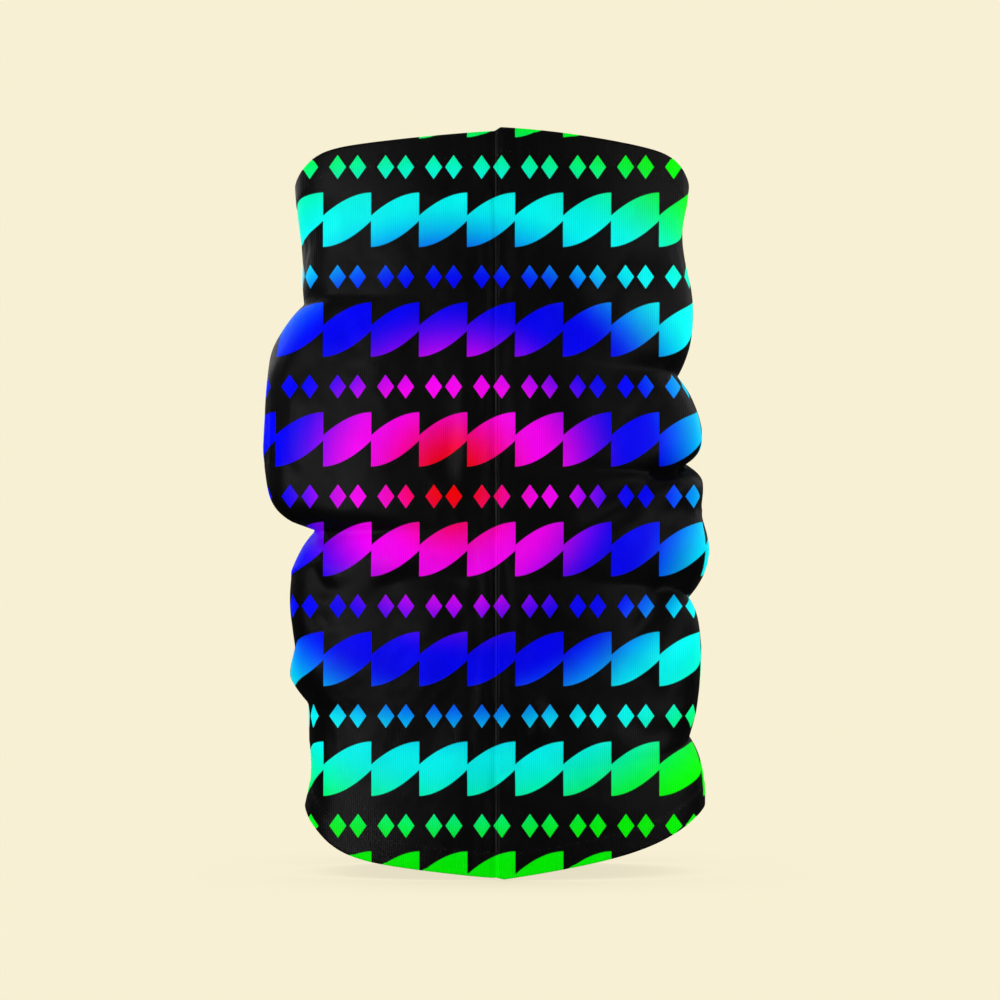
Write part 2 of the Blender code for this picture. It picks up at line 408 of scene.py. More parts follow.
def shaped_grid(angles, hem_rows, panel_rows):
    """The tube with its puffs and folds, before it is settled."""
    heights = grid_heights(angles, hem_rows, panel_rows)
    grid = smooth_tube(np.broadcast_to(angles, heights.shape), heights)
    normals = grid_normals(grid)
    front = smooth(-grid[..., 1] / 0.02)
    back = smooth(grid[..., 1] / 0.02)
    depths = front * fold_depths(grid, FRONT_FOLDS) + back * fold_depths(grid, BACK_FOLDS)
    return grid + normals * depths[..., None]


# ---------------------------------------------------------------- settling by cloth simulation

SETTLE_COLUMNS = 120
SETTLE_PANEL_ROWS = 80
SETTLE_HEM_ROWS = 3
SETTLE_FRAMES = 22
SPARE_LENGTH = 1.055
MOST_SETTLING = 0.0055


def grid_faces(rows, columns, wraps):
    """Quads of a grid of points, row by row, wound so that they face outwards."""
    spans = columns if wraps else columns - 1
    row, column = np.meshgrid(np.arange(rows - 1), np.arange(spans), indexing="ij")
    beyond = (column + 1) % columns
    low, high = row * columns, (row + 1) * columns
    corners = (low + column, low + beyond, high + beyond, high + column)
    return np.stack(corners, axis=-1).reshape(-1, 4)


def new_mesh(name, points, faces):
    mesh = bpy.data.meshes.new(name)
    mesh.from_pydata(points.reshape(-1, 3).tolist(), [], faces.tolist())
    mesh.shade_smooth()
    return mesh


def settle(shape):
    """Lets a cloth with a little spare length settle from the shaped tube. Returns how each point moved."""
    open_grid = shape[:, :-1]
    rows, columns = open_grid.shape[:2]
    mesh = new_mesh("settling_cloth", open_grid, grid_faces(rows, columns, wraps=True))
    cloth = bpy.data.objects.new("settling_cloth", mesh)
    bpy.context.scene.collection.objects.link(cloth)
    cloth.shape_key_add(name="Basis")
    longer = cloth.shape_key_add(name="longer")
    stretched = open_grid * np.array([1.0, 1.0, SPARE_LENGTH])
    longer.data.foreach_set("co", stretched.astype(np.float32).ravel())

    held = cloth.vertex_groups.new(name="held")
    inner_rows = np.minimum(np.arange(rows), rows - 1 - np.arange(rows))
    hold = 1 - 0.93 * smooth((inner_rows - SETTLE_HEM_ROWS) / 7)
    for row in range(rows):
        held.add(range(row * columns, (row + 1) * columns), float(hold[row]), "REPLACE")

    modifier = cloth.modifiers.new("settle", "CLOTH")
    settings = modifier.settings
    settings.quality = 7
    settings.mass = 0.05
    settings.air_damping = 2.0
    settings.tension_stiffness = 12
    settings.compression_stiffness = 12
    settings.shear_stiffness = 4
    settings.bending_stiffness = 0.02
    settings.effector_weights.gravity = 0
    settings.use_pressure = True
    settings.uniform_pressure_force = 0.6
    settings.vertex_group_mass = "held"
    settings.pin_stiffness = 0.6
    settings.rest_shape_key = longer
    modifier.collision_settings.use_collision = False
    modifier.point_cache.frame_start = 1
    modifier.point_cache.frame_end = SETTLE_FRAMES
    for number in range(1, SETTLE_FRAMES + 1):
        bpy.context.scene.frame_set(number)
    settled = cloth.evaluated_get(bpy.context.evaluated_depsgraph_get())
    points = np.empty(rows * columns * 3, np.float32)
    settled.data.vertices.foreach_get("co", points)
    bpy.data.objects.remove(cloth)
    bpy.context.scene.frame_set(1)
    moved = points.reshape(rows, columns, 3) - open_grid
    size = np.linalg.norm(moved, axis=-1, keepdims=True)
    return moved * (MOST_SETTLING * np.tanh(size / MOST_SETTLING) / np.maximum(size, 1e-9))


def settled_motion(round_shares):
    """The settling of a coarse tube, spread smoothly over the fine grid."""
    angles, _ = column_angles(SETTLE_COLUMNS)
    moved = settle(shaped_grid(angles, SETTLE_HEM_ROWS, SETTLE_PANEL_ROWS))
    taller = resampled(moved, np.linspace(0, len(moved) - 1, ROWS + 1), wraps=False)
    wider = resampled(taller.transpose(1, 0, 2), round_shares * SETTLE_COLUMNS, wraps=True)
    return wider.transpose(1, 0, 2)


# ---------------------------------------------------------------- the fine cloth


def seam_distances(grid):
    """Distance round the cloth from the seam: positive to its right, negative to its left."""
    steps = np.linalg.norm(np.diff(grid, axis=1), axis=-1)
    lengths = np.concatenate([np.zeros((len(grid), 1)), np.cumsum(steps, axis=1)], axis=1)
    return np.where(np.arange(grid.shape[1]) < grid.shape[1] // 2, lengths, lengths - lengths[:, -1:])


def soft_noise(round_shares, cells_up, cells_round):
    """Smooth random unevenness over the fine grid, with a spread of about 1."""
    coarse = RNG.normal(size=(cells_up, cells_round))
    taller = resampled(coarse, np.linspace(0, cells_up - 1, ROWS + 1), wraps=False)
    return resampled(taller.T, round_shares * cells_round, wraps=True).T


def fine_cloth():
    """The outside of the cloth, and the level that the turned hems lie at inside it.

    The settling and the unevenness fade out towards the rims, so that the hems stay true.
    """
    angles, round_shares = column_angles(COLUMNS, SEAM_CROWDING)
    grid = shaped_grid(angles, HEM_ROWS, PANEL_ROWS)
    row = np.arange(ROWS + 1)
    from_rim = np.minimum(row, ROWS - row)
    inside = smooth((from_rim - HEM_ROWS * 0.6) / 14)[:, None, None]
    grid = grid + settled_motion(round_shares) * inside
    distance = seam_distances(grid)
    relief = seam_relief(distance, grid[..., 2])
    relief = relief + UNEVENNESS * soft_noise(round_shares, 20, 26) * inside[..., 0]
    relief = relief - HEM_LINE * np.exp(-(((from_rim - HEM_ROWS) / 0.8) ** 2))[:, None]
    in_hem = smooth((HEM_ROWS + 1 - from_rim) / 2)[:, None]
    relief = relief + in_hem * HEM_LIFT
    waves = np.sin(distance * 2 * pi / 0.0137) * np.sin(distance * 2 * pi / 0.051 + 1)
    relief = relief + in_hem * HEM_WAVE * waves
    out = grid_normals(grid)
    return grid + out * relief[..., None], grid - out * LINING_DEPTH


def print_places(grid):
    """Where each point of the cloth lies on the print, in metres across and up from the seam's middle.

    Over the front the print runs straight across. Round the sides and the back it follows the cloth, and
    comes out at a whole number of columns.
    """
    nearness = 1 - np.abs(grid[..., 1]) / VIEW_DISTANCE
    flat_x = (grid[..., 0] - SEAM_X) / nearness
    up = (grid[..., 2] - MIDDLE) / nearness
    steps = np.linalg.norm(np.diff(grid[..., :2], axis=1), axis=-1)
    half = COLUMNS // 2
    whole = PRINT_ROUND / 2
    across = np.zeros(flat_x.shape)
    facing = -grid[..., 1] / HALF_DEPTH
    share = smooth((facing - 0.12) / 0.38)
    share = (share[:, 1:] + share[:, :-1]) / 2
    for part, sign in ((slice(0, half), 1), (slice(half, COLUMNS), -1)):
        flat = np.diff(flat_x, axis=1)[:, part] * share[:, part]
        round_cloth = steps[:, part] * (1 - share[:, part])
        rate = (whole - flat.sum(axis=1)) / round_cloth.sum(axis=1)
        gain = flat + round_cloth * rate[:, None]
        if sign > 0:
            across[:, 1 : half + 1] = np.cumsum(gain, axis=1)
        else:
            across[:, half + 1 :] = whole + np.cumsum(gain, axis=1)
    return np.stack([across, up], axis=-1)


def add_piece(name, mesh, materials):
    piece = bpy.data.objects.new(name, mesh)
    bpy.context.scene.collection.objects.link(piece)
    for made in materials:
        mesh.materials.append(made)
    return piece


def store_places(mesh, corners):
    """Keeps a place for each face corner: on the print, or along a thread or a ribbon."""
    layer = mesh.uv_layers.new(name="print")
    layer.data.foreach_set("uv", corners.astype(np.float32).ravel())


def lay_print(mesh, places, faces):
    """Lays the print on a mesh. Past the back's middle, it counts again from the left."""
    corners = places.reshape(-1, 2)[faces.ravel()].reshape(-1, 4, 2)
    turned = corners[..., 0].mean(axis=1) > PRINT_ROUND / 2
    corners[turned, :, 0] -= PRINT_ROUND
    store_places(mesh, corners)


def thicken(piece, inner_slot, rim_slot, thickness):
    modifier = piece.modifiers.new("cloth", "SOLIDIFY")
    modifier.thickness = thickness
    modifier.offset = -1.0
    modifier.material_offset = inner_slot
    modifier.material_offset_rim = rim_slot
    bpy.context.view_layer.update()
    made = bpy.data.meshes.new_from_object(piece.evaluated_get(bpy.context.evaluated_depsgraph_get()))
    piece.modifiers.clear()
    piece.data = made
    made.set_sharp_from_angle(angle=1.2)


def seam_frame(grid, normals):
    """Points up the seam, with the directions right and inwards at each."""
    rows = slice(HEM_ROWS, ROWS - HEM_ROWS + 1)
    seam, out = grid[rows, 0], normals[rows, 0]
    right = unit(np.cross(-out, np.gradient(seam, axis=0)))
    right = np.where(right[:, :1] < 0, -right, right)
    return seam, right, -out


def seam_sway(height):
    """How far aside the allowance's raw edge wanders, up the seam."""
    return 0.0006 * np.sin(height * 2 * pi / 0.043) + 0.0004 * np.sin(height * 2 * pi / 0.017 + 1)


def allowance(side, seam, right, inwards):
    """One turned-in edge, from its raw edge to the fold: its lines, and each line's place on the print."""
    sway = seam_sway(seam[:, 2])
    fold = SEAM_FOLD * (0.62 + 0.38 * uneven(seam[:, 2], 0.117, 0.045))[:, None]
    lines, across = [], []
    for depth in np.linspace(1.0, 0.0, 6)[:-1]:
        inward = SEAM_FOLD + (ALLOWANCE_DEPTH - SEAM_FOLD) * depth
        aside = side * SEAM_GAP / 2 + (sway * depth**2)[:, None]
        lines.append(seam + right * aside + inwards * inward)
        across.append(-side * inward)
    for turn in (0.25, 0.6, 0.9):
        bend = turn * pi / 2
        aside = SEAM_GAP / 2 + fold * (1 - np.cos(bend))
        inward = fold * (1 - np.sin(bend))
        lines.append(seam + right * side * aside + inwards * inward)
        across.append(side * SEAM_FOLD * (np.sin(bend) - np.cos(bend)))
    return lines, across


def panel_piece(grid, places, normals, materials):
    """The sewn rectangle: the tube between the hems, with its side edges turned in at the seam."""
    rows = slice(HEM_ROWS, ROWS - HEM_ROWS + 1)
    body, spots = grid[rows], places[rows]
    seam_parts = seam_frame(grid, normals)
    first, first_across = allowance(1, *seam_parts)
    last, last_across = (part[::-1] for part in allowance(-1, *seam_parts))
    sheet = np.stack(first + [body[:, column] for column in range(1, COLUMNS)] + last, axis=1)
    edge_shape = (len(body), len(first))
    left_across = np.broadcast_to(first_across, edge_shape)
    right_across = PRINT_ROUND + np.broadcast_to(last_across, edge_shape)
    spot_across = np.concatenate([left_across, spots[:, 1:COLUMNS, 0], right_across], axis=1)
    edge_up = np.broadcast_to(spots[:, :1, 1], edge_shape)
    spot_up = np.concatenate([edge_up, spots[:, 1:COLUMNS, 1], edge_up], axis=1)
    faces = grid_faces(*sheet.shape[:2], wraps=False)
    mesh = new_mesh("tube_panel_cloth", sheet, faces)
    lay_print(mesh, np.stack([spot_across, spot_up], axis=-1), faces)
    piece = add_piece("tube_panel_cloth", mesh, materials)
    thicken(piece, inner_slot=1, rim_slot=1, thickness=CLOTH)
    return piece


def hem_piece(name, rows, rim_row, grid, lining, places, materials):
    """A turned edge: up the outside, over the rim and down the inside, with the print on both faces."""
    outer, inner, spots = grid[rows], lining[rows], places[rows]
    if rim_row == 0:
        outer, inner, spots = outer[::-1], inner[::-1], spots[::-1]
    across = (outer[-1] - inner[-1]) / 2
    radius = np.linalg.norm(across, axis=-1, keepdims=True)
    way = unit(outer[-1] - outer[-2])
    middle = (outer[-1] + inner[-1]) / 2 - way * radius
    over = np.array([0.0, -1.0 if rim_row == 0 else 1.0])
    lines, line_spots = list(outer[:-1]), list(spots[:-1])
    for turn in np.linspace(0, pi, 7):
        lines.append(middle + across * np.cos(turn) + way * radius * np.sin(turn))
        line_spots.append(spots[-1] + over * radius * turn)
    for number in range(len(outer) - 2, -1, -1):
        lines.append(inner[number])
        beyond = 2 * spots[-1] - spots[number]
        beyond[:, 0] = spots[number][:, 0]
        line_spots.append(beyond)
    sheet, sheet_spots = np.stack(lines), np.stack(line_spots)
    if rim_row == 0:
        sheet, sheet_spots = sheet[::-1], sheet_spots[::-1]
    rows_made, columns = sheet.shape[0], sheet.shape[1] - 1
    mesh = new_mesh(name, sheet[:, :-1], grid_faces(rows_made, columns, wraps=True))
    lay_print(mesh, sheet_spots, grid_faces(rows_made, columns + 1, wraps=False))
    piece = add_piece(name, mesh, materials)
    thicken(piece, inner_slot=1, rim_slot=1, thickness=CLOTH)
    return piece


# ---------------------------------------------------------------- materials


class Nodes:
    """A material whose node tree is built from plain arithmetic. Values are numbers or nodes' outputs."""

    def __init__(self, name):
        self.material = bpy.data.materials.new(name)
        self.material.use_nodes = True
        self.tree = self.material.node_tree
        self.shader = self.tree.nodes["Principled BSDF"]

    def node(self, kind, **settings):
        made = self.tree.nodes.new(kind)
        for key, value in settings.items():
            setattr(made, key, value)
        return made

    def put(self, socket, value):
        if isinstance(value, bpy.types.NodeSocket):
            self.tree.links.new(value, socket)
        else:
            socket.default_value = value

    def math(self, operation, *values):
        made = self.node("ShaderNodeMath", operation=operation)
        for socket, value in zip(made.inputs, values):
            self.put(socket, value)
        return made.outputs[0]

    def plus(self, first, second):
        return self.math("ADD", first, second)

    def minus(self, first, second):
        return self.math("SUBTRACT", first, second)

    def times(self, first, second):
        return self.math("MULTIPLY", first, second)

    def over(self, first, second):
        return self.math("DIVIDE", first, second)

    def step(self, value, low, high, to_low=0.0, to_high=1.0):
        """A smooth step from one value to another as a value rises from low to high."""
        made = self.node("ShaderNodeMapRange", interpolation_type="SMOOTHSTEP")
        for socket, given in zip(made.inputs, (value, low, high, to_low, to_high)):
            self.put(socket, given)
        return made.outputs[0]

    def from_middle(self, count):
        """How far a place is from the middle of its cell: 0 there, and 0.5 at the cell's edges."""
        return self.math("ABSOLUTE", self.minus(self.math("FRACT", count), 0.5))

    def hump(self, from_middle, power):
        """1 in the middle of a cell, falling to 0 at its edges."""
        fallen = self.math("POWER", self.times(from_middle, 2.0), power)
        return self.minus(1.0, fallen)

    def mix(self, share, first, second, blend="MIX"):
        made = self.node("ShaderNodeMix", data_type="RGBA", blend_type=blend)
        self.put(made.inputs[0], share)
        self.put(made.inputs[6], first)
        self.put(made.inputs[7], second)
        return made.outputs[2]

    def shaded(self, colour, brightness):
        """A colour multiplied by a brightness."""
        grey = self.node("ShaderNodeCombineColor")
        for socket in grey.inputs[:3]:
            self.put(socket, brightness)
        return self.mix(1.0, colour, grey.outputs[0], "MULTIPLY")

    def noise(self, scale, detail=3.0):
        made = self.node("ShaderNodeTexNoise")
        self.put(made.inputs["Scale"], scale)
        self.put(made.inputs["Detail"], detail)
        self.put(made.inputs["Vector"], self.node("ShaderNodeTexCoord").outputs["Object"])
        return made.outputs["Fac"]

    def place(self):
        """Where a point lies across and up the print, or round and along a thread."""
        split = self.node("ShaderNodeSeparateXYZ")
        self.put(split.inputs[0], self.node("ShaderNodeUVMap", uv_map="print").outputs[0])
        return split.outputs[0], split.outputs[1]

    def look(self, **values):
        """Sets the shader's inputs, with underscores for the spaces in their names."""
        for name, value in values.items():
            self.put(self.shader.inputs[name.replace("_", " ")], value)

    def bump(self, height, distance):
        made = self.node("ShaderNodeBump")
        self.put(made.inputs["Distance"], distance)
        self.put(made.inputs["Height"], height)
        self.put(self.shader.inputs["Normal"], made.outputs[0])


# The knit: one loop's width and height
WALE = 0.00112
COURSE = 0.00098


def face_relief(n, across, up):
    """Height of the knit's face: columns of V-shaped loops, each column with a shallow cleft."""
    from_middle = n.from_middle(n.over(across, WALE))
    rib = n.hump(from_middle, 3.0)
    climb = n.minus(n.over(up, COURSE), n.times(from_middle, 1.3))
    loop = n.hump(n.from_middle(climb), 2.0)
    cleft = n.step(from_middle, 0.0, 0.12)
    relief = n.times(rib, n.plus(0.6, n.times(loop, 0.4)))
    return n.times(relief, n.plus(0.75, n.times(cleft, 0.25)))


def back_relief(n, across, up):
    """Height of the knit's back: rows of small arcs."""
    from_middle = n.from_middle(n.over(across, WALE))
    arch = n.times(n.minus(0.25, n.times(from_middle, from_middle)), 1.4)
    return n.hump(n.from_middle(n.plus(n.over(up, COURSE), arch)), 2.0)


# The print's marks. A petal fills a share of its row's height, and each of its arcs has a drop and a power.
# The lozenges' centres are shares of a column, and their band is a share of a row.
PETAL_SHARE = 0.505
PETAL_ABOVE = (0.415, 1.85)
PETAL_BELOW = (0.472, 1.80)
LOZENGE_HALF_WIDTH = 0.0050
LOZENGE_HALF_HEIGHT = 0.0071
LOZENGE_CENTRES = (0.302, 0.719)
LOZENGE_BAND = 0.772
SERRATION = 0.00010
INK_EDGE = 0.022

# The ink's colours by distance from a point left of the seam, and how strong and shiny the ink is
RAINBOW_CENTRE = (-0.0263, 0.0137)
RAINBOW = ((0.0, (1, 0, 0)), (0.055, (1, 0, 1)), (0.110, (0, 0, 1)), (0.165, (0, 1, 1)), (0.232, (0, 1, 0)))
RAINBOW_REACH = RAINBOW[-1][0]
INK_STRENGTH = 0.77
INK_SHINE = 0.35


def print_mask(n, across, up):
    """1 on the petals and lozenges, 0 on the ground between them."""
    serration = n.times(n.math("SINE", n.times(up, 2 * pi / COURSE)), SERRATION)
    across = n.plus(across, serration)
    x = n.math("FRACT", n.minus(n.over(across, COLUMN_PITCH), COLUMN_SHIFT))
    down = n.math("FRACT", n.over(n.minus(TOP_ROW, up), ROW_PITCH))
    y = n.minus(1.0, n.over(down, PETAL_SHARE))
    from_top, from_right = n.minus(1.0, y), n.minus(1.0, x)
    arc_above = n.times(n.math("POWER", from_right, PETAL_ABOVE[1]), PETAL_ABOVE[0])
    arc_below = n.times(n.math("POWER", x, PETAL_BELOW[1]), PETAL_BELOW[0])
    under_top = n.minus(from_top, arc_above)
    over_bottom = n.minus(y, arc_below)
    petal = n.step(n.math("MINIMUM", under_top, over_bottom), 0.0, INK_EDGE)
    first, second = (n.math("ABSOLUTE", n.minus(x, centre)) for centre in LOZENGE_CENTRES)
    sideways = n.times(n.math("MINIMUM", first, second), COLUMN_PITCH / LOZENGE_HALF_WIDTH)
    upwards = n.math("ABSOLUTE", n.minus(down, LOZENGE_BAND))
    upwards = n.times(upwards, ROW_PITCH / LOZENGE_HALF_HEIGHT)
    lozenge = n.step(n.minus(1.0, n.plus(sideways, upwards)), 0.0, INK_EDGE)
    return n.math("MAXIMUM", petal, lozenge)


def rainbow(n, across, up):
    """Pure hues in soft rings."""
    side = n.minus(across, RAINBOW_CENTRE[0])
    rise = n.minus(up, RAINBOW_CENTRE[1])
    square = n.plus(n.times(side, side), n.times(rise, rise))
    ramp = n.node("ShaderNodeValToRGB")
    n.put(ramp.inputs[0], n.over(n.math("SQRT", square), RAINBOW_REACH))
    ramp.color_ramp.interpolation = "EASE"
    stops = ramp.color_ramp.elements
    while len(stops) < len(RAINBOW):
        stops.new(0.5)
    for stop, (distance, colour) in zip(stops, RAINBOW):
        stop.position = distance / RAINBOW_REACH
        stop.color = (*colour, 1.0)
    gamma = n.node("ShaderNodeGamma")
    n.put(gamma.inputs["Gamma"], 2.2)
    n.put(gamma.inputs["Color"], ramp.outputs[0])
    return n.mix(INK_STRENGTH, (0.0, 0.0, 0.0, 1.0), gamma.outputs[0])


GROUND = (0.0016, 0.0015, 0.0016, 1.0)
UNPRINTED = (0.62, 0.61, 0.58, 1.0)
GROUND_BEHIND = (0.30, 0.30, 0.31, 1.0)
SHOW_THROUGH = 0.16


def printed_knit():
    """The printed face: a deep black ground, and ink that shines less than it. Its colour has painted shade
    in the knit's grooves, and blotches that vary its tone at random.
    """
    n = Nodes("printed_knit_face")
    across, up = n.place()
    mask = print_mask(n, across, up)
    relief = face_relief(n, across, up)
    blotches = n.noise(38.0, 4.0)
    # Painted shade: the colour is darkened in the knit's grooves, and the blotches vary its tone at random.
    painted_shade_and_tone = n.plus(n.times(relief, 0.30), 0.74)
    painted_shade_and_tone = n.times(painted_shade_and_tone, n.step(blotches, 0.3, 0.7, 0.94, 1.03))
    facing = n.node("ShaderNodeLayerWeight").outputs["Facing"]
    shine = n.step(facing, 0.12, 0.55, 0.095, 0.008)
    n.look(
        Base_Color=n.shaded(n.mix(mask, GROUND, rainbow(n, across, up)), painted_shade_and_tone),
        Roughness=n.step(blotches, 0.2, 0.8, 0.34, 0.46),
        Specular_IOR_Level=n.times(shine, n.step(mask, 0.0, 1.0, 1.0, INK_SHINE)),
        Sheen_Weight=0.004,
        Sheen_Roughness=0.35,
    )
    n.bump(n.plus(relief, n.times(n.noise(2600.0, 2.0), 0.22)), 0.00009)
    return n.material


def plain_knit():
    """The unprinted inside, with a little of the print showing through. Its colour has painted shade in the
    knit's grooves, and blotches that vary its tone at random.
    """
    n = Nodes("unprinted_knit_back")
    across, up = n.place()
    mask = print_mask(n, across, up)
    relief = back_relief(n, across, up)
    through = n.mix(mask, GROUND_BEHIND, rainbow(n, across, up))
    blotches = n.noise(30.0, 4.0)
    # Painted shade: the colour is darkened in the knit's grooves, and the blotches vary its tone at random.
    painted_shade_and_tone = n.plus(n.times(relief, 0.24), 0.78)
    painted_shade_and_tone = n.times(painted_shade_and_tone, n.step(blotches, 0.3, 0.7, 0.93, 1.03))
    n.look(
        Base_Color=n.shaded(n.mix(SHOW_THROUGH, UNPRINTED, through), painted_shade_and_tone),
        Roughness=n.step(blotches, 0.2, 0.8, 0.80, 0.92),
        Specular_IOR_Level=0.2,
        Sheen_Weight=0.15,
    )
    n.bump(n.plus(relief, n.times(n.noise(2400.0, 2.0), 0.3)), 0.00020)
    return n.material


THREAD_TWIST = 0.0011
THREAD_PLIES = 2.0


def thread_material(name, colour):
    """Two-ply twisted thread: a spiral of plies, with painted shade in the grooves between them."""
    n = Nodes(name)
    round_it, along = n.place()
    turns = n.plus(n.times(round_it, THREAD_PLIES), n.over(along, THREAD_TWIST))
    ply = n.hump(n.from_middle(turns), 2.0)
    # Painted shade: the thread's colour is darkened where the plies meet.
    painted_ply_shade = tuple(value * 0.45 for value in colour)
    n.look(
        Base_Color=n.mix(ply, (*painted_ply_shade, 1.0), (*colour, 1.0)),
        Roughness=n.step(n.noise(900.0), 0.3, 0.7, 0.5, 0.7),
        Specular_IOR_Level=0.3,
        Sheen_Weight=0.2,
    )
    n.bump(ply, 0.00012)
    return n.material


WEFT = 0.00035
FLOAT = 0.0021
FLOAT_SHIFT = 0.0007


def label_material():
    """White satin ribbon: weft rows, with long floats that step along from row to row. Its colour has painted
    shade in the weave's hollows, and is lighter on the raised threads.
    """
    n = Nodes("label_satin_weave")
    along, up = n.place()
    weft = n.math("SINE", n.times(up, 2 * pi / WEFT))
    shift = n.times(n.math("FLOOR", n.over(up, WEFT)), FLOAT_SHIFT)
    floats = n.math("SINE", n.times(n.plus(along, shift), 2 * pi / FLOAT))
    relief = n.plus(n.times(weft, 0.5), n.times(floats, 0.25))
    # Painted shade: the ribbon's colour is darker in the weave's hollows and lighter on its raised threads.
    painted_shade_and_tone = n.step(relief, -0.75, 0.75, 0.0, 1.0)
    n.look(
        Base_Color=n.mix(painted_shade_and_tone, (0.70, 0.70, 0.68, 1.0), (0.84, 0.84, 0.82, 1.0)),
        Roughness=n.step(n.noise(220.0), 0.3, 0.7, 0.34, 0.48),
        Anisotropic=0.5,
        Sheen_Weight=0.1,
    )
    n.bump(relief, 0.00005)
    return n.material


# ---------------------------------------------------------------- threads


def yarn(name, points, radius, finish, closed=False, sides=7):
    """A thread swept along points, with its twist laid out round and along it."""
    points = np.asarray(points, float)
    if closed:
        ahead, behind = np.roll(points, -1, axis=0), np.roll(points, 1, axis=0)
    else:
        ahead = np.concatenate([points[1:], points[-1:]])
        behind = np.concatenate([points[:1], points[:-1]])
    way = unit(ahead - behind)
    side = np.cross(way[0], (0.3, 0.2, 0.9))
    side /= np.linalg.norm(side)
    sides_at = []
    for direction in way:
        side = side - direction * (side @ direction)
        side /= np.linalg.norm(side)
        sides_at.append(side)
    sides_at = np.array(sides_at)
    across = np.cross(way, sides_at)
    turn = np.linspace(0, 2 * pi, sides, endpoint=False)
    cosines, sines = np.cos(turn)[None, :, None], np.sin(turn)[None, :, None]
    ring = sides_at[:, None] * cosines + across[:, None] * sines
    tube = points[:, None] + ring * radius
    count = len(points)
    rows = count + 1 if closed else count
    faces = (grid_faces(rows, sides, wraps=True) % (count * sides)).tolist()
    if not closed:
        faces.append(list(range(sides))[::-1])
        faces.append([(count - 1) * sides + corner for corner in range(sides)])
    mesh = bpy.data.meshes.new(name)
    mesh.from_pydata(tube.reshape(-1, 3).tolist(), [], faces)
    mesh.shade_smooth()
    along = lengths_along(points)[np.minimum(np.arange(rows), count - 1)]
    round_it = np.arange(sides + 1) / sides
    places = np.stack(np.meshgrid(round_it, along), axis=-1).reshape(-1, 2)
    corners = places[grid_faces(rows, sides + 1, wraps=False).ravel()]
    caps = np.zeros((0 if closed else 2 * sides, 2))
    store_places(mesh, np.concatenate([corners, caps]))
    return add_piece(name, mesh, [finish])


def along_seam(seam_parts, height, aside, inward):
    """Points beside the seam: aside is to the right, and inward is into the tube."""
    seam, right, inwards = seam_parts
    share = np.clip((inward - SEAM_FOLD) / (ALLOWANCE_DEPTH - SEAM_FOLD), 0, 1.1)
    aside = aside + seam_sway(height) * share**2
    centre = read_along(height, seam[:, 2], seam)
    right_here = unit(read_along(height, seam[:, 2], right))
    inwards_here = unit(read_along(height, seam[:, 2], inwards))
    return centre + right_here * aside[:, None] + inwards_here * inward[:, None]


def overlock(grid, normals, finish):
    """Four threads: two rows of needle stitches, and two loopers that wrap the allowance's raw edge."""
    parts = seam_frame(grid, normals)
    low, high = parts[0][0, 2] + 0.001, parts[0][-1, 2] - 0.001
    face = SEAM_GAP / 2 + CLOTH + THREAD_RADIUS
    steps = int((high - low) / OVERLOCK_STITCH) * 8
    height = np.linspace(low, high, steps)
    phase = (height - low) / OVERLOCK_STITCH
    threads = []
    lift = THREAD_RADIUS * 0.9 * np.abs(np.sin(phase * pi))
    for number, depth in enumerate(NEEDLE_DEPTHS, 1):
        line = along_seam(parts, height, -(face - THREAD_RADIUS * 0.8 + lift), np.full(steps, depth))
        threads.append(yarn(f"seam_needle_yarn_{number}", line, THREAD_RADIUS, finish))
    edge = ALLOWANCE_DEPTH + THREAD_RADIUS
    for name, side, offset in (("seam_upper_looper_yarn", -1, 0.0), ("seam_lower_looper_yarn", 1, 0.5)):
        swing = 0.5 - 0.5 * np.cos((phase + offset) * 2 * pi)
        inward = LOOPER_NEAR + (edge - LOOPER_NEAR) * swing
        lean = height + 0.0007 * np.sin((phase + offset) * 2 * pi)
        over_edge = smooth((swing - 0.82) / 0.18)
        cover = face + THREAD_RADIUS * (1.0 - 0.3 * swing) - 0.75 * face * over_edge
        line = along_seam(parts, np.clip(lean, low, high), side * cover, inward)
        threads.append(yarn(name, line, THREAD_RADIUS * 1.15, finish))
    return threads


def hem_stitching(prefix, row, direction, grid, lining, normals, finish):
    """A blind hem: tiny pricks on the outside, and a zigzag inside that catches the turned edge."""
    line, out = grid[row, :-1], normals[row, :-1]
    rim_row = grid[row + direction, :-1]
    toward_rim = unit(rim_row - line)
    lengths = lengths_along(np.concatenate([line, line[:1]]))
    stitches = int(lengths[-1] / HEM_STITCH)
    steps = stitches * 12
    where = np.linspace(0, lengths[-1], steps, endpoint=False)

    def at(field):
        return read_along(where, lengths, np.concatenate([field, field[:1]]))

    centre, outward, rimward = at(line), unit(at(out)), unit(at(toward_rim))
    phase = where * stitches / lengths[-1]
    part = phase % 1.0
    shows = smooth((0.11 - np.abs(part - 0.5)) / 0.05)
    hidden = -(CLOTH + THREAD_RADIUS * 0.4)
    depth = hidden + (THREAD_RADIUS * 0.35 - hidden) * shows
    needle = centre + outward * depth[:, None] + rimward * 0.0014
    swing = np.abs(part * 2 - 1) * 2 - 1
    inside = at(lining[row, :-1]) - outward * THREAD_RADIUS * 0.9
    looper = inside + rimward * (0.0022 + 0.0019 * swing)[:, None]
    return (
        yarn(prefix + "_needle_yarn", needle, THREAD_RADIUS * 0.85, finish, closed=True, sides=6),
        yarn(prefix + "_looper_yarn", looper, THREAD_RADIUS, finish, closed=True, sides=6),
    )


# ---------------------------------------------------------------- label


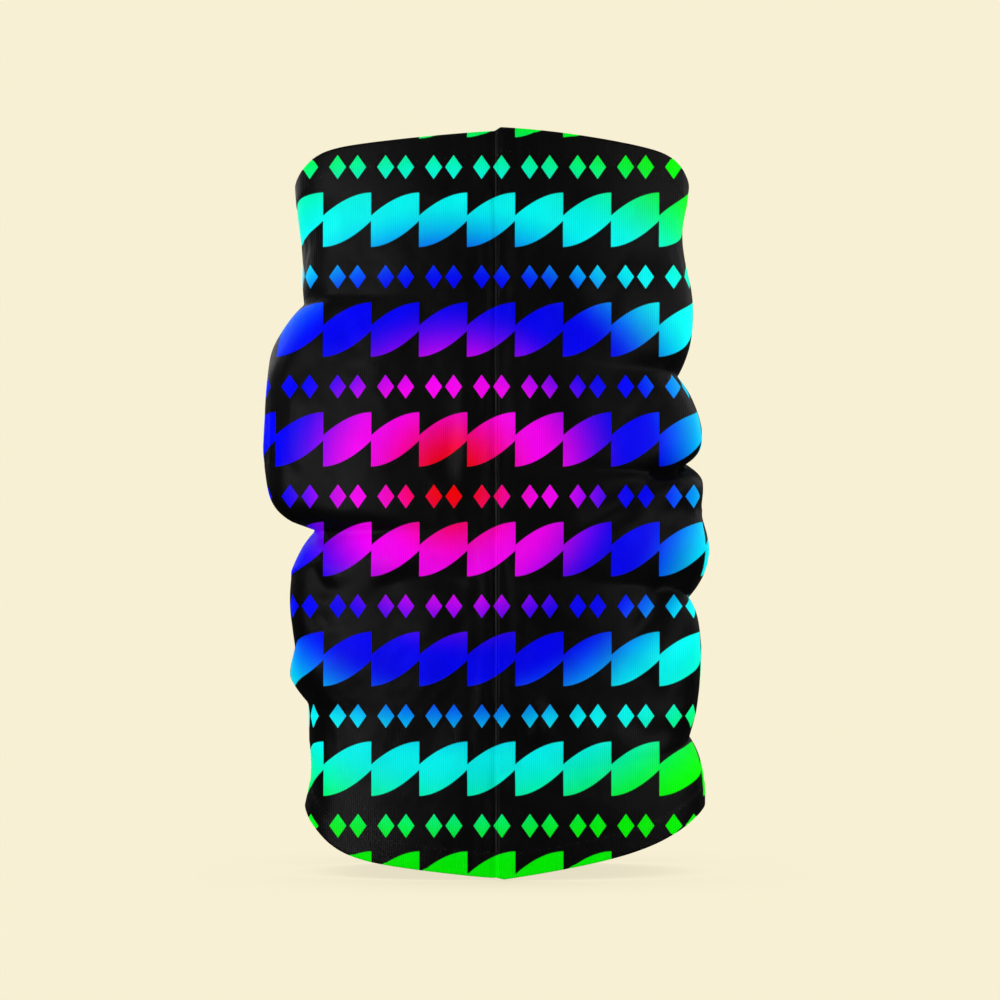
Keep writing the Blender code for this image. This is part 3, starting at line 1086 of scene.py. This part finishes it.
def ribbon(name, path, low, high, thickness, finish):
    """A strip of ribbon standing on edge along a path seen from above, from one height to another."""
    path = np.asarray(path, float)
    rows = 17
    heights = np.linspace(low, high, rows)
    curl = RIBBON_CURL * np.cos(np.linspace(-1, 1, rows) * pi)
    way = unit(np.gradient(path, axis=0))
    aside = np.stack([way[:, 1], -way[:, 0]], axis=-1)
    lengths = lengths_along(path)
    reach = smooth(lengths / lengths[-1] * 2)
    lines, spots = [], []
    for height, bow in zip(heights, curl):
        shifted = path + aside * (bow * reach)[:, None]
        lines.append(np.column_stack([shifted, np.full(len(path), height)]))
        spots.append(np.column_stack([lengths, np.full(len(path), height - low)]))
    sheet, places = np.stack(lines), np.stack(spots)
    faces = grid_faces(*sheet.shape[:2], wraps=False)
    mesh = new_mesh(name, sheet, faces)
    store_places(mesh, places.reshape(-1, 2)[faces.ravel()])
    piece = add_piece(name, mesh, [finish])
    thicken(piece, inner_slot=0, rim_slot=0, thickness=thickness)
    return piece


def care_label(finish):
    """A ribbon folded double, blank on both faces, and the short root that the seam holds."""
    hinge = np.array(HINGE[:2])
    corner = np.array([LABEL_HIGH.x, LABEL_HIGH.y])
    way = unit(corner - hinge)
    aside = np.array([way[1], -way[0]])
    length = np.linalg.norm(corner - hinge) - 0.0004
    reach = np.linspace(0.0009, length, 26)
    bow = LABEL_BOW * np.sin(np.linspace(0, pi, 26) * 0.9)
    gap = LABEL_PLY_GAP
    outward = hinge + way * reach[:, None] + aside * (bow + gap)[:, None]
    homeward = hinge + way * reach[::-1, None] + aside * (bow[::-1] - gap)[:, None]
    turn = np.linspace(0, pi, 7)[1:-1]
    tip = hinge + way * length + aside * bow[-1]
    fold = tip + way * (gap * np.sin(turn))[:, None] + aside * (gap * np.cos(turn))[:, None]
    path = np.concatenate([outward, fold, homeward])
    label = ribbon("care_label_ribbon", path, LABEL_LOW.z, LABEL_HIGH.z, RIBBON, finish)
    start = np.array([SEAM_X, HINGE[1] - 0.0034])
    root = start + (hinge - start) * np.linspace(0, 1, 6)[:, None]
    return label, ribbon("care_label_root", root, LABEL_LOW.z, LABEL_HIGH.z, RIBBON_ROOT, finish)


# ---------------------------------------------------------------- build

BACK_FOLDS = back_folds()

# The studio
BACKDROP = (0.939, 0.871, 0.658)
SHADOW_REACH = 0.12
SHADOW_LEVEL = 0.72
SKY_LIGHT = 0.36
SKY_SHINE = 0.05


def stand_for(node):
    """Hides the CAD node that a piece stands for."""
    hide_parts(node)


def build_gaiter():
    grid, lining = fine_cloth()
    normals = grid_normals(grid)
    places = print_places(grid)
    cloth = [printed_knit(), plain_knit()]
    black = thread_material("black_thread", (0.02, 0.02, 0.022))
    white = thread_material("white_thread", (0.76, 0.75, 0.72))
    panel = panel_piece(grid, places, normals, cloth)
    top_rows, bottom_rows = slice(ROWS - HEM_ROWS, ROWS + 1), slice(0, HEM_ROWS + 1)
    top = hem_piece("top_hem_cloth", top_rows, ROWS, grid, lining, places, cloth)
    bottom = hem_piece("bottom_hem_cloth", bottom_rows, 0, grid, lining, places, cloth)

    seam_yarns = overlock(grid, normals, white)
    for piece in (panel, *seam_yarns):
        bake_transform(piece)
    stand_for("tube_panel")
    for piece in seam_yarns:
        stand_for(piece.name.replace("yarn", "thread"))
    for hem, body, prefix, row, direction in (
        (top, "upper_edge", "top_hem", ROWS - HEM_ROWS, 1),
        (bottom, "tube", "bottom_hem", HEM_ROWS, -1),
    ):
        stand_for(prefix)
        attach(hem, body)
        for piece in hem_stitching(prefix, row, direction, grid, lining, normals, black):
            stand_for(piece.name.replace("yarn", "thread"))
            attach(piece, body)
    label, root = care_label(label_material())
    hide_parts("care_label")
    for piece, body in ((label, "label"), (root, "tube")):
        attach(piece, body)


def pale_floor():
    """A floor that shows as the backdrop's own cream, with a painted shadow close under the object."""
    n = Nodes("pale_floor")
    glow = n.node("ShaderNodeEmission")
    shadow = n.node("ShaderNodeAmbientOcclusion", samples=16)
    n.put(shadow.inputs["Distance"], SHADOW_REACH)
    n.put(glow.inputs["Color"], (*BACKDROP, 1.0))
    # Painted shadow: the floor's glow is dimmed where the object is close above it.
    n.put(glow.inputs["Strength"], n.step(shadow.outputs["AO"], 0.0, 1.0, SHADOW_LEVEL, 1.0))
    mixed = n.node("ShaderNodeMixShader")
    n.look(Base_Color=(0.75, 0.72, 0.62, 1.0))
    n.put(mixed.inputs[0], n.node("ShaderNodeLightPath").outputs["Is Camera Ray"])
    n.put(mixed.inputs[1], n.shader.outputs[0])
    n.put(mixed.inputs[2], glow.outputs[0])
    n.put(n.tree.nodes["Material Output"].inputs[0], mixed.outputs[0])
    bpy.ops.mesh.primitive_plane_add(size=60.0, location=(0, 0, 0))
    floor = bpy.context.object
    floor.name = "pale_floor"
    floor.visible_glossy = False
    floor.data.materials.append(n.material)


def backdrop():
    """A plain cream background, with a soft sky that lights the object and barely shines on it."""
    world = bpy.data.worlds.new("studio")
    bpy.context.scene.world = world
    world.use_nodes = True
    tree = world.node_tree
    background = tree.nodes["Background"]
    seen = tree.nodes.new("ShaderNodeBackground")
    seen.inputs[0].default_value = (*BACKDROP, 1.0)
    background.inputs[0].default_value = (1.0, 0.99, 0.97, 1.0)
    light_path = tree.nodes.new("ShaderNodeLightPath")
    strength = tree.nodes.new("ShaderNodeMapRange")
    strength.inputs["To Min"].default_value = SKY_LIGHT
    strength.inputs["To Max"].default_value = SKY_SHINE
    tree.links.new(light_path.outputs["Is Glossy Ray"], strength.inputs["Value"])
    tree.links.new(strength.outputs[0], background.inputs[1])
    mixed = tree.nodes.new("ShaderNodeMixShader")
    tree.links.new(light_path.outputs["Is Camera Ray"], mixed.inputs[0])
    tree.links.new(background.outputs[0], mixed.inputs[1])
    tree.links.new(seen.outputs[0], mixed.inputs[2])
    tree.links.new(mixed.outputs[0], tree.nodes["World Output"].inputs[0])


def soft_light(name, place, size, power, aim, shines=True):
    """A square lamp that faces the aim. Its reflection is left out if it does not shine."""
    lamp = bpy.data.lights.new(name, "AREA")
    lamp.size = size
    lamp.energy = power
    obj = bpy.data.objects.new(name, lamp)
    obj.location = place
    obj.visible_glossy = shines
    bpy.context.scene.collection.objects.link(obj)
    track = obj.constraints.new("TRACK_TO")
    track.target = aim
    track.track_axis = "TRACK_NEGATIVE_Z"
    track.up_axis = "UP_Y"


def studio():
    """The floor, the lamps and the camera, level with the middle of the gaiter."""
    backdrop()
    pale_floor()
    aim = bpy.data.objects.new("aim", None)
    aim.location = (0, 0, MIDDLE)
    bpy.context.scene.collection.objects.link(aim)
    soft_light("side_left", (-2.2, -1.2, 0.12), 0.6, 30, aim)
    soft_light("side_right", (2.3, -1.0, 0.3), 0.6, 14, aim)
    soft_light("overhead", (-0.4, -0.9, 2.4), 0.7, 18, aim)
    soft_light("front_soft", (0.4, -2.8, 0.9), 1.6, 20, aim, shines=False)
    soft_light("fill_left", (-2.5, -0.3, 0.6), 1.2, 22, aim, shines=False)
    soft_light("fill_right", (2.5, -0.3, 0.6), 1.2, 30, aim, shines=False)
    soft_light("back_left", (-1.3, 1.8, 1.1), 1.4, 26, aim)
    soft_light("back_right", (1.6, 1.5, 0.9), 1.4, 18, aim)
    camera = bpy.data.cameras.new("camera")
    camera.sensor_width = SENSOR
    camera.lens = SENSOR * VIEW_DISTANCE / VIEW_WIDTH
    camera.clip_start = 0.05
    camera.clip_end = 200.0
    viewer = bpy.data.objects.new("camera", camera)
    viewer.location = (VIEW_X, -VIEW_DISTANCE, MIDDLE + 0.002)
    viewer.rotation_euler = (pi / 2, 0, 0)
    bpy.context.scene.collection.objects.link(viewer)
    bpy.context.scene.camera = viewer
    bpy.context.scene.view_settings.view_transform = "Standard"


build_gaiter()
studio()
bpy.context.view_layer.update()
